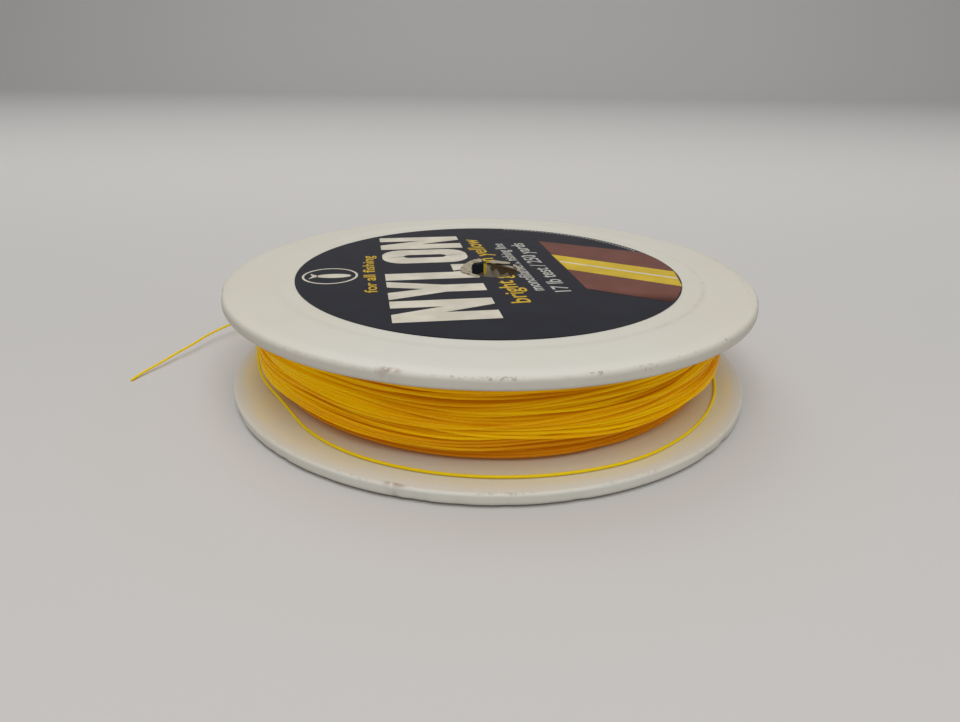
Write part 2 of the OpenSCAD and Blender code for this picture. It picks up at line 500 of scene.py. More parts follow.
def inner_winding():
    """Even passes: height goes to and fro between the flanges, radius grows with each turn."""
    turns = np.arange(passes * TURNS_IN_PASS * INNER_BINS + 1) / INNER_BINS
    done = turns / TURNS_IN_PASS
    across = np.abs(done % 2 - 1)
    height = GAP_HIGH - 1.2 * LINE_R - (GAP_HIGH - GAP_LOW - 2.4 * LINE_R) * across
    return around_axis(FIRST_R + PASS_STEP * done, 2 * np.pi * turns + SEAM, height)


inner_path = inner_winding()

# %% Heights of the outer turns
OUTER_BINS = 96
CELL = 0.05 * MM
TURNS_OUT = 120
TURNS_ACROSS = 31
LAST_HEIGHT = 11.6 * MM
# no centre of a turn comes closer to a flange than this
FLANGE_GAP = 0.26 * MM
# the lower edge of the last turns rises between these shares of all outer turns
LIFT_FROM, LIFT_OVER = 0.22, 0.40
# round the spool, that lower edge lies at these degrees and millimetres above the table
edge_angle = [-180, -170, -160, -148, -136, -125, -117, -108, -99, -91, -83, -75, -66, -56,
              -42, -30, -20, -8, 10, 40, 90, 130, 160, 180]
edge_height = [7.4, 6.9, 6.5, 6.3, 6.2, 5.9, 5.6, 5.2, 4.8, 4.9, 5.4, 5.6, 5.4, 5.5, 6.2, 6.6,
               7.0, 7.4, 7.0, 6.0, 5.0, 6.0, 7.2, 7.4]
# how far out the wound line may reach at each height: the last turn runs round just outside it
CLEAR_HEIGHT = np.array([2.4, 3.2, 3.7, 4.8, 6.6, 8.6, 10.3, 11.0, 12.4, 13.0, 17.8]) * MM
CLEAR_RADIUS = np.array([40.8, 40.9, 41.6, 42.5, 42.95, 43.1, 43.1, 42.6, 42.6, 44.2, 44.2]) * MM


def slow_wave(u, rng, knots_per_unit, size):
    """A smooth random wave over u: random knots joined by a cosine ease."""
    count = int(u[-1] * knots_per_unit) + 3
    knots = rng.normal(0, size, count)
    x = u * knots_per_unit
    i = x.astype(int)
    ease = (1 - np.cos(np.pi * (x - i))) / 2
    return knots[i] * (1 - ease) + knots[i + 1] * ease


def soft_above(value, limit, soft):
    """value, eased so that it never falls below limit: limit + s ln(1 + e^((v - limit) / s))."""
    return limit + soft * np.logaddexp(0, (value - limit) / soft)


def outer_heights(turn_count, rng):
    """Heights of the outer turns, OUTER_BINS for each turn, up to the last one's end. The lower
    edge of the last turns rises and falls round the spool, where turns have slipped up."""
    turns = np.arange(turn_count * OUTER_BINS + 1) / OUTER_BINS
    angle = 2 * np.pi * turns + SEAM
    share = turns / turn_count
    slipped = np.interp(np.angle(np.exp(1j * angle)), np.radians(edge_angle), edge_height)
    lifted = np.clip((share - LIFT_FROM) / LIFT_OVER, 0, 1)
    lifted = lifted * lifted * (3 - 2 * lifted)
    low = GAP_LOW + FLANGE_GAP + lifted * (slipped * MM - GAP_LOW - FLANGE_GAP)
    high = GAP_HIGH - FLANGE_GAP
    phase = 1 - (LAST_HEIGHT - low[-1]) / (high - low[-1])
    across = np.abs(((turn_count - turns) / TURNS_ACROSS + phase) % 2 - 1)
    loose = (0.25 + 2.1 * share ** 3) * MM
    # each wave: random knots in a turn, size, and its shape round the spool
    wave = loose * sum(slow_wave(turns, rng, rate, size) * shape for rate, size, shape in (
        (0.20, 0.50, np.cos(angle)), (0.20, 0.50, np.sin(angle)),
        (0.30, 0.35, np.cos(2 * angle)), (0.30, 0.35, np.sin(2 * angle)),
        (0.40, 0.20, np.cos(3 * angle)), (0.40, 0.20, np.sin(3 * angle)),
        (1.1, 0.16, 1.0), (3.1, 0.11, 1.0)))
    # the last turn and a half ends calmly, at LAST_HEIGHT
    fade = np.clip((turn_count - turns) / 1.5, 0, 1)
    height = low + (high - low) * across + wave * fade
    height = soft_above(height, low, 0.30 * MM)
    return -soft_above(-height, -high, 0.12 * MM), angle, low, high


# %% Lay the outer turns one on another
def stretch(under, rounds=40):
    """The shape of tight line round points it can't go inside: the line is straight wherever
    it is free, which in polar form is 1/r = (1/r1 + 1/r2) / (2 cos step)."""
    step = 2 * math.cos(2 * math.pi / OUTER_BINS)
    r = under.copy()
    for _ in range(rounds):
        r = np.maximum(under, step / (1 / np.roll(r, 1) + 1 / np.roll(r, -1)))
    return r


# how far a turn may slide, in mm: bin by bin, and as a whole
SLIDE_LOCAL, SLIDE_WHOLE = 2.5, 2.0
# what a slide costs: the last 40 turns are held more firmly, as they are seen
SEEN_TURNS, FIRM_UNSEEN, FIRM_SEEN = 40, 0.2, 1.5
# how many bins a turn takes to come over from where the turn before it ended
JOIN_BINS = 14
# turns sink this far into those under them
SINK = 0.03 * MM
# the slack of the last turns: how far they stand off in mm, at which degrees, and how wide
SLACK, SLACK_WIDTH = ((0.9, -8), (0.7, -172)), 26
# the slack starts 34 turns before the end and is full after 20
SLACK_BEFORE, SLACK_OVER = 34, 20


def lay_turns(heights, low, high):
    """Lays each turn on the surface so far. surface[bin, cell] is how far out the line reaches.
    rest[bin, cell] is where a centre at that height would lie: the largest of
    surface + sqrt(R^2 - (h' - h)^2) over heights h'. Each turn first slides sideways as a
    whole, then bin by bin, to where it can lie deeper, as line slips into a groove. It may not
    reach further out than the clear radius at its height. The last turns are a bit slack."""
    count = len(heights)
    cells = np.arange(int((GAP_HIGH - GAP_LOW) / CELL) + 1) * CELL + GAP_LOW
    near = np.arange(-4, 5)
    lift = np.sqrt(LINE_R ** 2 - (near * CELL) ** 2)
    surface = np.full((OUTER_BINS, len(cells)), OUTER_START)
    bins = np.arange(OUTER_BINS)
    degrees = np.degrees(SEAM) + bins * 360 / OUTER_BINS
    stands_off = sum(size * MM * np.exp(-(((degrees - middle + 180) % 360 - 180)
                                          / SLACK_WIDTH) ** 2) for size, middle in SLACK)
    slides = np.linspace(-SLIDE_LOCAL, SLIDE_LOCAL, 51) * MM
    whole = np.linspace(-SLIDE_WHOLE, SLIDE_WHOLE, 33) * MM
    kernel = np.hanning(15) / np.hanning(15).sum()
    carried, laid_r, laid_z = 0.0, [], []

    def rest_at(rest, height):
        x = np.clip((height - GAP_LOW) / CELL, 0, len(cells) - 1.001)
        i = x.astype(int)
        return rest[bins, i] * (1 - x + i) + rest[bins, i + 1] * (x - i)

    def room(height):
        return np.interp(height, CLEAR_HEIGHT, CLEAR_RADIUS) - LINE_R

    def reach_cost(rest, height):
        out = rest_at(rest, height)
        return out + 4 * np.maximum(out - room(height), 0)

    for number, (row, row_low) in enumerate(zip(heights, low)):
        firm = FIRM_UNSEEN if number < count - SEEN_TURNS else FIRM_SEEN
        rest = np.max([np.roll(surface, -k, axis=1) + up for k, up in zip(near, lift)], axis=0)
        if number == count - 1:
            whole = whole * 0
        cost = [reach_cost(rest, np.clip(row + c, row_low, high)).mean() + 0.4 * firm * abs(c)
                for c in whole]
        slid = np.clip(row + whole[int(np.argmin(cost))], row_low, high)
        cost = [reach_cost(rest, np.clip(slid + d, row_low, high)) + firm * d * d / MM
                for d in slides]
        local = slides[np.argmin(cost, axis=0)]
        local = np.convolve(np.r_[local[-7:], local, local[:7]], kernel, "valid")
        target = np.clip(slid + local, row_low, high) - row
        target = target + (carried - target[0]) * np.exp(-bins / JOIN_BINS)
        carried = target[-1]
        height = np.clip(row + target, row_low, high)
        slack = np.clip((number - count + SLACK_BEFORE) / SLACK_OVER, 0, 1)
        centre = stretch(rest_at(rest, height)) - SINK + slack * stands_off
        centre = np.minimum(centre, room(height))
        gap = cells[None] - height[:, None]
        reach = centre[:, None] + np.sqrt(np.clip(LINE_R ** 2 - gap ** 2, 0, None))
        surface = np.where(np.abs(gap) < LINE_R, np.maximum(surface, reach), surface)
        laid_r.append(centre)
        laid_z.append(height)
    return np.array(laid_r), np.array(laid_z)


def eased(rows):
    """All rows as one, each value averaged with its two neighbours on either side, and one
    more value at the end."""
    return np.convolve(np.pad(rows.ravel(), (2, 3), mode="edge"), np.ones(5) / 5, "valid")


wanted_z, outer_angle, low_edge, high_edge = outer_heights(TURNS_OUT, np.random.default_rng(17))
rows = (TURNS_OUT, OUTER_BINS)
outer_r, outer_z = (eased(values) for values in lay_turns(
    wanted_z[:-1].reshape(rows), low_edge[:-1].reshape(rows), high_edge))
outer_path = around_axis(outer_r, outer_angle, outer_z)

# %% Make the wound line's pieces
wound = []


def add_wound(name, path, sides):
    """One length of the wound line; its name and real length go into the list wound."""
    long = path_length(path)
    piece = add_piece(name, *tube_mesh(path, LINE_R, sides), LINE, crease=80)
    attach(piece, "spool")
    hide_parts("line_winding")
    wound.append((name, long))


for number, part in enumerate(np.array_split(np.arange(len(inner_path) - 1), 4)):
    add_wound(f"wound_inner_{number + 1}", inner_path[part[0]:part[-1] + 2], 5)
for number, part in enumerate(np.array_split(np.arange(len(outer_path) - 1), 2)):
    add_wound(f"wound_outer_{number + 1}", outer_path[part[0]:part[-1] + 2], 8)
print("wound line", [(name, round(long, 1)) for name, long in wound])

# %% [markdown]
# ## The last turn and the free end
# The last turn of line has slipped off the winding. It lies on the lower flange, runs right
# round the back, springs out over the rim and touches the table with its cut end. Thick nylon
# keeps the curve of the spool and is stiff, so the end makes one wide bow. The route repeats
# the CAD model's points, each an angle, a radius and a height, and starts at the wound line's
# last point.

# %% Route of the last turn and its free end
wound_end = [(-204, outer_r[-1] * 1000, outer_z[-1] * 1000), (-192, 42.9, 11.4)]
turn_route = [(-180, 43.4, 10.6), (-172, 43.4, 8.6), (-165, 43.3, 6.6), (-158.5, 43, 4.8),
              (-154, 42.1, 3.6), (-149, 41.3, 2.9), (-142, 41.3, 2.75), (-132, 42.3, 2.75),
              (-119, 43.3, 2.75), (-105, 43.8, 2.75), (-90, 44.1, 2.75), (-75, 44.3, 2.75),
              (-60, 44.5, 2.75), (-47, 44.1, 2.75), (-31, 43.5, 2.75), (-15, 43.1, 2.75),
              (5, 42.9, 2.75), (25, 42.7, 2.75), (45, 42.6, 2.75), (65, 42.6, 2.75),
              (85, 42.7, 2.75), (105, 43, 2.75)]
tail_route = [(120, 44.5, 2.8), (132, 47.5, 2.85), (142, 50.8, 2.85),
              (150, 53.7, 2.8), (158, 56.7, 2.65), (165.4, 58.9, 2.4), (170.2, 60.4, 2),
              (174.8, 61.4, 1.65), (178.6, 62.9, 1.3), (182.2, 64.5, 0.9),
              (185.3, 66.3, 0.6), (188, 67.8, 0.24)]


def smooth_route(points, per_point):
    """A Catmull-Rom cubic through polar points (degrees, mm, mm), as x, y, z in metres."""
    p = np.asarray(points, float)
    u = np.linspace(0, len(p) - 1, (len(p) - 1) * per_point + 1)
    i = np.minimum(u.astype(int), len(p) - 2)
    t = (u - i)[:, None]
    a, b, c, d = (p[np.clip(i + k, 0, len(p) - 1)] for k in (-1, 0, 1, 2))
    degrees, radius, height = cubic_between(a, b, c, d, t).T
    return around_axis(radius, np.radians(degrees), height) * MM


free_path = smooth_route(wound_end + turn_route + tail_route, 8)
free_line = add_piece("free_line", *tube_mesh(free_path, LINE_R, 12), LINE_FREE, crease=60)
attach(free_line, "free_line")
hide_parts("loose_turn", "line_tail")

# %% [markdown]
# ## The two moulded halves
# Each half is one outline turned round the axis, with fillets as real arcs, so the rim has a
# true highlight. The upper half carries the hub drum, the lower one the spigot that presses
# into it. Six ribs inside each half tie the drum to the arbor tube.

# %% Outlines of the halves
RIM_FILLET, LIP_FILLET = 0.8, 0.5
SLOPE_W, SLOPE_DROP = 2.0, 0.3
RECESS_R, RECESS_H = 38.8, 0.25
HUB_WALL, ARBOR_WALL, SPIGOT_L = 1.8, 1.6, 6.0
STEPS = 540
DENTS = 46
hub, gap = HUB_R * 1000, (GAP_HIGH - GAP_LOW) * 1000
spigot = hub - HUB_WALL
arbor = ARBOR_R * 1000
tube = arbor + ARBOR_WALL


def flange_outer_edge():
    """The flange's edge from its inner face to its outer one, in mm, as if it lay on z = 0."""
    r, t = FLANGE_R * 1000, FLANGE_T * 1000
    top = t - SLOPE_DROP
    return np.vstack([arc((r - LIP_FILLET, LIP_FILLET), LIP_FILLET, -90, 0, 8),
                      arc((r - RIM_FILLET, top - RIM_FILLET), RIM_FILLET, 0, 78, 10),
                      [[r - 1.2, t - 0.16], [r - 1.6, t - 0.06], [r - SLOPE_W - 0.2, t - 0.01],
                       [r - 3.0, t]],
                      [[43.0, t], [40.6, t], [RECESS_R + 0.9, t - 0.02],
                       [RECESS_R + 0.5, t - 0.06], [RECESS_R - 0.3, t - RECESS_H + 0.04],
                       [RECESS_R - 0.9, t - RECESS_H + 0.005], [37.0, t - RECESS_H]]])


def half_outline(inside):
    """A whole half, flange up. inside is the hub's outline from the bore to the flange."""
    t = FLANGE_T * 1000
    return np.vstack([inside, flange_outer_edge(),
                      [[30.0, t - RECESS_H], [18.0, t - RECESS_H], [arbor + 0.25, t - RECESS_H],
                       [arbor, t - RECESS_H - 0.2]]])


drum_inside = [[arbor, -gap / 2], [tube, -gap / 2], [tube, 0], [spigot, 0], [spigot, -gap],
               [hub, -gap], [hub, 0]]
spigot_inside = [[arbor, -gap / 2], [tube, -gap / 2], [tube, 0], [spigot - HUB_WALL, 0],
                 [spigot - HUB_WALL, -SPIGOT_L], [spigot - 0.02, -SPIGOT_L], [spigot - 0.02, 0]]


# %% Wear the rim and add the ribs
def wear(points, rng):
    """Small dents along the outer corner, above the inner face's edge."""
    x, y, z = points.T
    radius, angle = np.hypot(x, y), np.arctan2(y, x)
    on_rim = np.clip((radius - 46.6) / 0.8, 0, 1)
    dent = np.zeros(len(points))
    for place, size, wide in zip(rng.uniform(-np.pi, np.pi, DENTS),
                                 rng.uniform(0.03, 0.16, DENTS),
                                 rng.uniform(0.008, 0.03, DENTS)):
        away = np.angle(np.exp(1j * (angle - place)))
        dent += size * np.exp(-(away / wide) ** 2)
    return around_axis(radius - on_rim * dent * (z > 0.9), angle, z)


def ribs(inner, outer, height, count=6, thick=1.2):
    """Ribs standing down from the flange: closed boxes from the arbor tube to the wall."""
    corner = np.array([[x, y, z] for z in (-height, 0.2) for x, y in
                       ((inner, -thick / 2), (outer, -thick / 2), (outer, thick / 2),
                        (inner, thick / 2))])
    box = np.array([[0, 3, 2, 1], [4, 5, 6, 7], [0, 1, 5, 4], [1, 2, 6, 5], [2, 3, 7, 6],
                    [3, 0, 4, 7]])
    points, faces = [], []
    for k in range(count):
        a = 2 * np.pi * k / count
        spin = np.array([[np.cos(a), np.sin(a), 0], [-np.sin(a), np.cos(a), 0], [0, 0, 1]])
        points.append(corner @ spin)
        faces.append(box + 8 * k)
    return np.vstack(points), np.vstack(faces)


def add_half(name, inside, rib_reach, seed, upper):
    """A half turned, worn and set in place; the lower one is the upper one turned over."""
    points, faces = turned_mesh(half_outline(inside), STEPS)
    points = wear(points, np.random.default_rng(seed))
    rib_points, rib_faces = ribs(tube - 0.2, rib_reach + 0.2, 4)
    faces = np.vstack([faces, rib_faces + len(points)])
    points = np.vstack([points, rib_points])
    if not upper:
        points = points * [1, -1, -1]
    points = points * MM + [0, 0, GAP_HIGH if upper else GAP_LOW]
    piece = add_piece(name + "_moulding", points, faces, PLASTIC, crease=38)
    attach(piece, "spool")
    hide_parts(name)
    print(name, len(faces), "faces")


add_half("upper_half", drum_inside, spigot, 5, True)
add_half("lower_half", spigot_inside, spigot - HUB_WALL, 9, False)

# %% [markdown]
# ## The labels
# A label is coated paper printed navy all over, with pale marks. A rod has been pushed through
# the front one: the paper is torn round the hole, its lip stands up, and flaps hang down
# inside, showing the tan back of the paper.


# %% Paper and ink materials
def printed(name, colour, roughness, wear_colour, amount):
    """Printed paper: ink colour, faint mottle, scuffs that show the paper, soft gloss."""
    material, tree, shader, place = new_material(name, IOR=1.48, Specular_IOR_Level=0.22)
    mottle = noise(tree, place, 210, 5)
    lighter = tuple(min(1.0, c * 1.18 + 0.006) for c in colour)
    tone = mix_colour(tree, ramp_mask(tree, mottle, 0.35, 0.7), colour, lighter)
    tone = tinted(tree, tone, wear_colour, specks(tree, place, 800.0, amount), 0.6)
    tree.links.new(tone, shader.inputs["Base Color"])
    set_roughness(tree, shader, mottle, 0.25, roughness - 0.12)
    bump(tree, shader, noise(tree, place, 2600, 4), 0.10, 0.00008)
    return material


NAVY = printed("label_navy", (0.0060, 0.0070, 0.0140), 0.46, (0.30, 0.27, 0.22), 0.10)
PALE = printed("ink_pale", (0.560, 0.515, 0.425), 0.52, (0.36, 0.26, 0.15), 0.18)
GREY = printed("ink_grey", (0.400, 0.385, 0.350), 0.52, (0.15, 0.14, 0.14), 0.30)
GOLD = printed("ink_gold", (0.520, 0.330, 0.022), 0.50, (0.22, 0.14, 0.05), 0.15)
YELLOW = printed("ink_yellow", (0.530, 0.365, 0.024), 0.50, (0.35, 0.24, 0.08), 0.15)
BROWN = printed("ink_brown", (0.135, 0.048, 0.034), 0.50, (0.28, 0.18, 0.12), 0.10)
TAN = printed("paper_torn", (0.330, 0.285, 0.205), 0.75, (0.10, 0.07, 0.035), 0.95)
STAINED = printed("paper_stained", (0.060, 0.036, 0.015), 0.80, (0.30, 0.22, 0.13), 0.60)

# %% [markdown]
# ## Flat shapes with a thickness
# Every printed mark is a very thin solid that lies on the paper, so a mark is as sharp as real
# print from any distance. A flat outline is filled, copied downwards, and closed at its sides.
# The letters come from Blender's own font, which gives a filled outline too.


# %% Flat outlines, filled and given a thickness
def filled(outline):
    """Fills an outline. Returns flat points and triangles."""
    flat = np.asarray(outline, float)
    return flat, facing_up(flat, tessellate_polygon([[Vector((x, y, 0)) for x, y in flat]]))


def between(outer, inner):
    """The flat band between two closed loops with equally many points: one quad for each."""
    n = len(outer)
    faces = [(k, (k + 1) % n, n + (k + 1) % n, n + k) for k in range(n)]
    return np.vstack([outer, inner]), faces


def facing_up(flat, faces):
    """Turns round each face whose corners run clockwise."""
    kept = []
    for face in faces:
        p = flat[list(face)]
        area = np.sum(p[:, 0] * np.roll(p[:, 1], -1) - np.roll(p[:, 0], -1) * p[:, 1])
        if abs(area) > 1e-9:
            kept.append(tuple(face) if area > 0 else tuple(face)[::-1])
    return kept


def open_edges(faces):
    """The edges (from, to) that only one face has."""
    edges = {(f[i], f[(i + 1) % len(f)]) for f in faces for i in range(len(f))}
    return [(a, b) for a, b in edges if (b, a) not in edges]


def slab(flat, faces, low, high):
    """A flat filled shape given a thickness from low to high: top, bottom and edge faces."""
    flat = np.asarray(flat, float)
    n = len(flat)
    points = np.vstack([np.c_[flat, np.full(n, low)], np.c_[flat, np.full(n, high)]])
    walls = [(a, b, b + n, a + n) for a, b in open_edges(faces)]
    return points, [f[::-1] for f in faces] + [tuple(k + n for k in f) for f in faces] + walls


def gather(parts):
    """Several (points, faces) as one."""
    points, faces, start = [], [], 0
    for p, f in parts:
        points.append(np.asarray(p, float))
        faces += [tuple(int(k) + start for k in face) for face in f]
        start += len(p)
    return np.vstack(points), faces


def letters(words, width, squash=1.0):
    """A line of lettering in Blender's font, width mm long, its base on y = 0, its height
    multiplied by squash."""
    curve = bpy.data.curves.new("words", "FONT")
    curve.body = words
    curve.resolution_u = 3
    curve.offset = 0.012
    holder = bpy.data.objects.new("words", curve)
    bpy.context.scene.collection.objects.link(holder)
    bpy.context.view_layer.update()
    shaped = holder.evaluated_get(bpy.context.evaluated_depsgraph_get())
    mesh = bpy.data.meshes.new_from_object(shaped)
    flat = np.array([v.co[:2] for v in mesh.vertices])
    keys = {}
    index = [keys.setdefault(tuple(np.round(p, 5)), len(keys)) for p in flat]
    faces = [tuple(dict.fromkeys(index[k] for k in face.vertices)) for face in mesh.polygons]
    flat = np.array(list(keys))
    bpy.data.objects.remove(holder)
    bpy.data.meshes.remove(mesh)
    flat = (flat - [flat[:, 0].min(), 0]) * [1, squash] * width / np.ptp(flat[:, 0])
    return flat, facing_up(flat, [f for f in faces if len(f) > 2])


def placed(shape, start, end):
    """Turns and moves a shape so that its base line runs from start towards end (mm)."""
    flat, faces = shape
    ahead = np.subtract(end, start) / np.hypot(*np.subtract(end, start))
    return flat @ np.array([ahead, [-ahead[1], ahead[0]]]) + start, faces


# %% Block capitals, a badge and bars
def rounded_box(x0, y0, x1, y1, r, count=8):
    """A box outline with round corners."""
    return np.vstack([arc((x1 - r, y0 + r), r, -90, 0, count),
                      arc((x1 - r, y1 - r), r, 0, 90, count),
                      arc((x0 + r, y1 - r), r, 90, 180, count),
                      arc((x0 + r, y0 + r), r, 180, 270, count)])


W, H = 10.1, 17.0
capital = {
    "N": [filled([(0, 0), (3.9, 0), (3.9, 8.6), (7.0, 0), (W, 0), (W, H), (6.7, H),
                  (6.7, 8.4), (3.6, H), (0, H)])],
    "Y": [filled([(3.3, 0), (7.3, 0), (7.3, 7.0), (W, H), (6.9, H), (5.3, 10.8), (3.7, H),
                  (0, H), (3.3, 7.0)])],
    "L": [filled([(0, 0), (W - 0.8, 0), (W - 0.8, 4.2), (4.1, 4.2), (4.1, H), (0, H)])],
    "O": [between(rounded_box(0, 0, W, H, 4.2), rounded_box(3.9, 4.2, W - 3.9, H - 4.2, 1.3))],
}


def word(text, step):
    """Block capitals side by side."""
    return gather([(flat + [k * step, 0], faces) for k, letter in enumerate(text)
                   for flat, faces in capital[letter]])


def ring(centre, outer, inner, count=64):
    """A round band."""
    return between(arc(centre, outer, 0, 360 - 360 / count, count),
                   arc(centre, inner, 0, 360 - 360 / count, count))


def fish(centre, size, lean):
    """A plain fish: an oval body and a forked tail, at a lean in radians."""
    t = np.linspace(0, 2 * np.pi, 48, endpoint=False)
    body = np.c_[np.cos(t) + 0.12, np.sin(t) * 0.40]
    tail = np.array([[-0.80, 0.10], [-1.30, 0.52], [-1.12, 0.0], [-1.30, -0.52], [-0.80, -0.10]])
    spin = np.array([[math.cos(lean), math.sin(lean)], [-math.sin(lean), math.cos(lean)]])
    return [filled(body * size @ spin + centre), filled(tail[::-1] * size @ spin + centre)]


# %% [markdown]
# ## Tearing the paper
# The hole's outline is drawn by hand, with the paper's ragged edge added as a small noise.
# A cutter of that outline is taken out of every mark, and the sheet is built with the hole
# The hole's outline is drawn point by point, with the paper's ragged edge added as a small noise.
# Round the hole lie the torn bits: pale lips, a strip that hangs down inside, and a
# folded flap with its printed face out.

# %% Outline of the torn hole
tear_points = [(-2.4, -3.5), (-1.0, -4.3), (0.6, -4.55), (2.5, -4.4), (4.1, -3.4),
               (5.05, -1.7), (5.35, 0.0), (5.2, 1.8), (4.6, 3.3), (3.5, 4.3), (2.0, 4.7),
               (0.4, 4.9), (-1.0, 5.2), (-2.4, 5.0), (-3.3, 4.0), (-3.45, 1.4), (-3.4, -1.6)]


def closed_curve(points, per_point, ragged, seed):
    """A smooth closed curve through the points, with a small ragged offset."""
    p = np.asarray(points, float)
    u = np.arange(len(p) * per_point) / per_point
    i, t = u.astype(int), (u % 1)[:, None]
    a, b, c, d = (p[(i + k) % len(p)] for k in (-1, 0, 1, 2))
    curve = cubic_between(a, b, c, d, t)
    return curve + np.random.default_rng(seed).normal(0, ragged, curve.shape)


torn_edge = closed_curve(tear_points, 14, 0.028, 3)
around = np.degrees(np.arctan2(torn_edge[0, 1], torn_edge[0, 0]))
# the label was stuck on slightly off the middle
LABEL_CENTRE = (-0.22, -0.12)
label_edge = arc(LABEL_CENTRE, LABEL_R * 1000 - 0.1, around,
                 around + 360 - 360 / len(torn_edge), len(torn_edge))


def cut_hole(points, faces, outline):
    """Takes the prism of this outline out of a closed solid (lengths in mm)."""
    blank = bpy.data.objects.new("blank", bpy.data.meshes.new("blank"))
    knife = bpy.data.objects.new("knife", bpy.data.meshes.new("knife"))
    blank.data.from_pydata(np.asarray(points).tolist(), [], faces)
    sharp, sharp_faces = slab(*filled(outline), 10, 30)
    knife.data.from_pydata(sharp.tolist(), [], sharp_faces)
    for thing in (blank, knife):
        bpy.context.scene.collection.objects.link(thing)
    cut = blank.modifiers.new("cut", "BOOLEAN")
    cut.operation, cut.solver, cut.object = "DIFFERENCE", "EXACT", knife
    bpy.context.view_layer.update()
    shaped = blank.evaluated_get(bpy.context.evaluated_depsgraph_get())
    mesh = bpy.data.meshes.new_from_object(shaped)
    result = np.array([v.co[:] for v in mesh.vertices]), [tuple(f.vertices) for f in mesh.polygons]
    for thing in (blank, knife):
        bpy.data.objects.remove(thing)
    return result


# %% Where each mark lies on the label
INK = 0.03
PAPER_TOP = (LABEL_LOW + LABEL_T) * 1000
slope = math.tan(math.radians(-27))
band = filled([(10.6, 23.4), (17.0, -10.6), (17.0 + 13.4, -10.6 + 13.4 * slope),
               *arc((0, 0), 35.0, -33, 24, 40), (31.4, 15.2)])
stripe_top, stripe_low = (12.6, 12.2), (14.8, 1.4)
far_x = 34.2
stripe_right = (far_x, stripe_low[1] + (far_x - stripe_low[0]) * slope)
stripe = filled([stripe_top, stripe_low, stripe_right, (34.95, 1.0)])
thin_line = filled([(13.85, 7.3), (14.0, 6.5), (34.6, 6.5 + 20.6 * slope),
                    (34.6, 7.3 + 20.6 * slope)])
ticks = []
for start in np.arange(28, 84, 1.5):
    outer, inner = (arc(LABEL_CENTRE, r, start, start + 0.9, 2) for r in (34.75, 34.35))
    ticks.append((np.vstack([outer, inner[::-1]]), [(3, 0, 1, 2)]))
artwork = {
    "ink_pale": (PALE, 1, [placed(word("NYLON", 11.0), (2.3, -26.5), (-8.2, 30.2)),
                           ring((-28.9, -5.6), 5.0, 4.6), *fish((-28.6, -5.6), 3.1,
                                                                math.radians(8))]),
    "ink_grey": (GREY, 1, [placed(letters("monofilament fishing line", 33.5), (9.6, -12.0),
                                  (2.6, 20.7)),
                           placed(letters("17 lb test / 250 yards", 34.5), (14.2, -12.3),
                                  (6.9, 21.6))]),
    "ink_gold": (GOLD, 1, [placed(letters("bright golden yellow", 44.0, 0.9), (7.0, -18.6),
                                    (-3.2, 24.8)),
                           placed(letters("for all fishing", 24.0, 0.66), (-18.9, -14.8),
                                  (-23.4, 8.7))]),
    "ink_brown": (BROWN, 1, [band]),
    "ink_yellow": (YELLOW, 2, [stripe]),
    "ink_line": (PALE, 3, [thin_line]),
    "ink_ticks": (GREY, 1, ticks),
}


# %% Build a label: the sheet, its marks and its torn edge
def label_side(points, front):
    """Metres, and turned over about X for the back."""
    points = np.asarray(points, float)
    if not front:
        points = points * [1, -1, -1] + [0, 0, TOP * 1000]
    return points * MM


def add_paper(name, node, points, faces, material, front, crease=35):
    """A piece of a label, riding the spool in place of its CAD node."""
    piece = add_piece(name, label_side(points, front), faces, material, crease)
    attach(piece, "spool")
    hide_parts(node)


PAPER_THICK = 0.12


def strip_down(start, end, deep, ragged, bins, seed, lean=0.25):
    """A strip of paper that hangs down from the line start to end (mm) and curls outwards.
    Its lower edge is ragged. Closed: a front, a back and the edges between them."""
    rng = np.random.default_rng(seed)
    across = np.linspace(0, 1, bins)
    knots = rng.uniform(-0.5, 0.5, bins // 3 + 2)
    length = deep * (0.7 + ragged * np.interp(across * (len(knots) - 1), np.arange(len(knots)),
                                              knots) + 0.3 * np.sin(across * np.pi))
    ahead = np.subtract(end, start)
    out = np.array([-ahead[1], ahead[0]]) / np.hypot(*ahead)
    front, back = [], []
    for u, long in zip(across, length):
        for v in np.linspace(0, 1, 5):
            base = np.asarray(start) + ahead * u
            away = out * lean * long * v ** 1.6
            at = np.r_[base + away, PAPER_TOP - 0.02 - long * v]
            front.append(at)
            back.append(at + np.r_[out * PAPER_THICK, 0])
    n = len(front)
    cell = [(i * 5 + j, i * 5 + j + 1, i * 5 + j + 6, i * 5 + j + 5)
            for i in range(bins - 1) for j in range(4)]
    walls = [(a, a + n, b + n, b) for a, b in open_edges(cell)]
    points = np.vstack([front, back])
    faces = cell + [tuple(k + n for k in f[::-1]) for f in cell] + walls
    p = points[list(faces[0])]
    facing = np.dot(np.cross(p[1] - p[0], p[2] - p[0])[:2], out)
    return points, faces if facing < 0 else [f[::-1] for f in faces]


def bits(outlines, per_point, ragged, seed, top):
    """Flat bits of torn paper, each with its own ragged edge, pressed a little into the sheet."""
    return gather([slab(*filled(closed_curve(outline, per_point, ragged, seed + k)),
                        PAPER_TOP - 0.05, top) for k, outline in enumerate(outlines)])


